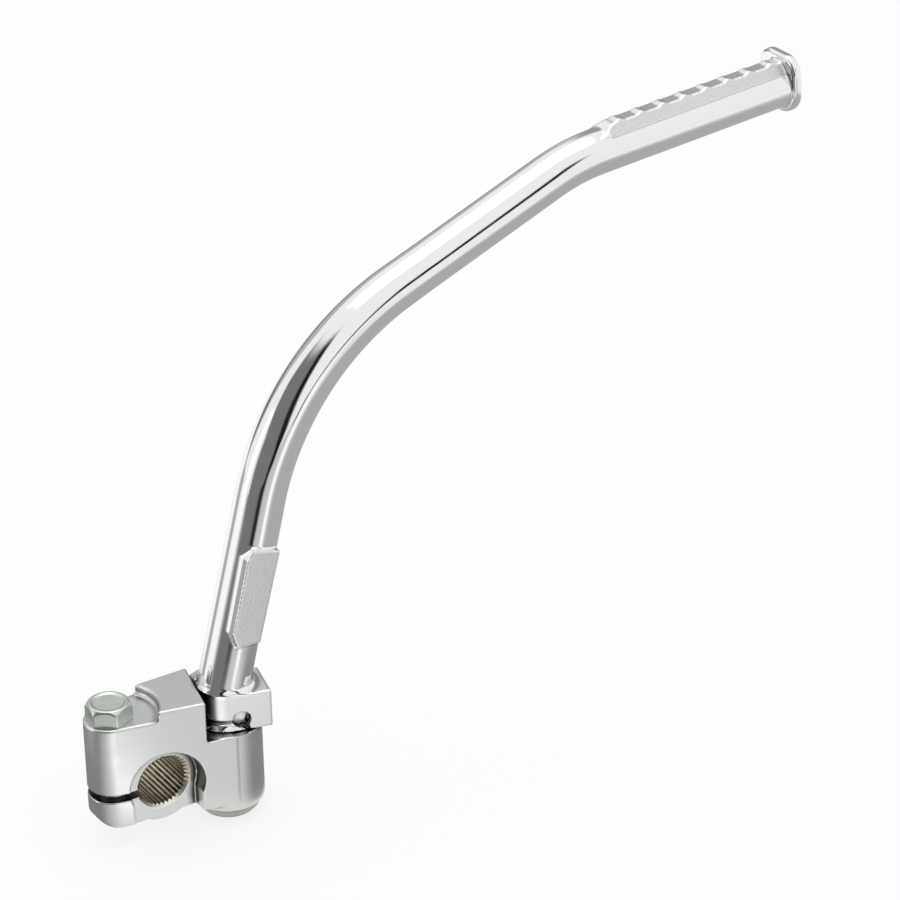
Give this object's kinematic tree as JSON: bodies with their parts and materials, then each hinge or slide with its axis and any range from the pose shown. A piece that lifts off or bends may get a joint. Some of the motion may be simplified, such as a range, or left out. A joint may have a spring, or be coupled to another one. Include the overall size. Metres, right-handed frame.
{
  "type": "kick start lever",
  "caption": "Folding kick start lever: splined clamp knuckle with pinch bolt, and a bent chrome arm with a ribbed pedal that folds on an upright spindle.",
  "frame": {"origin": "on the splined bore's axis, in the plane of the pinch bolt's axis", "axes": "+Y along the splined bore towards the engine, -Y outboard; +Z along the arm's spindle, away from the clamp; +X from the pinch bolt to the spindle"},
  "size_m": [0.2391, 0.0278, 0.1912],
  "materials": {
    "knuckle_chrome": "satin chrome plating on a forging",
    "arm_chrome": "bright chrome plating",
    "zinc_bolt": "zinc plated steel",
    "washer_steel": "bare steel, lightly oiled",
    "clip_steel": "spring steel",
    "ball_steel": "polished steel",
    "spring_steel": "spring steel"
  },
  "bodies": {
    "knuckle": {"clamp_knuckle": "knuckle_chrome", "pinch_bolt": "zinc_bolt", "detent_spring": "spring_steel"},
    "arm": {"kick_arm": "arm_chrome", "thrust_washer": "washer_steel", "circlip": "clip_steel"},
    "ball": {"detent_ball": "ball_steel"}
  },
  "joints": [
    {"name": "arm_fold", "type": "hinge", "parent": "knuckle", "child": "arm", "pos_m": [0.0224, -0.0047, 0.0118], "axis": [0, 0, -1], "range_deg": [0, 90]},
    {"name": "ball_click", "type": "slide", "parent": "knuckle", "child": "ball", "axis": [-0.972, 0.2351, 0], "range_m": [0, 0.0008], "stiffness_N_per_m": 1500, "springref_m": -0.001}
  ]
}
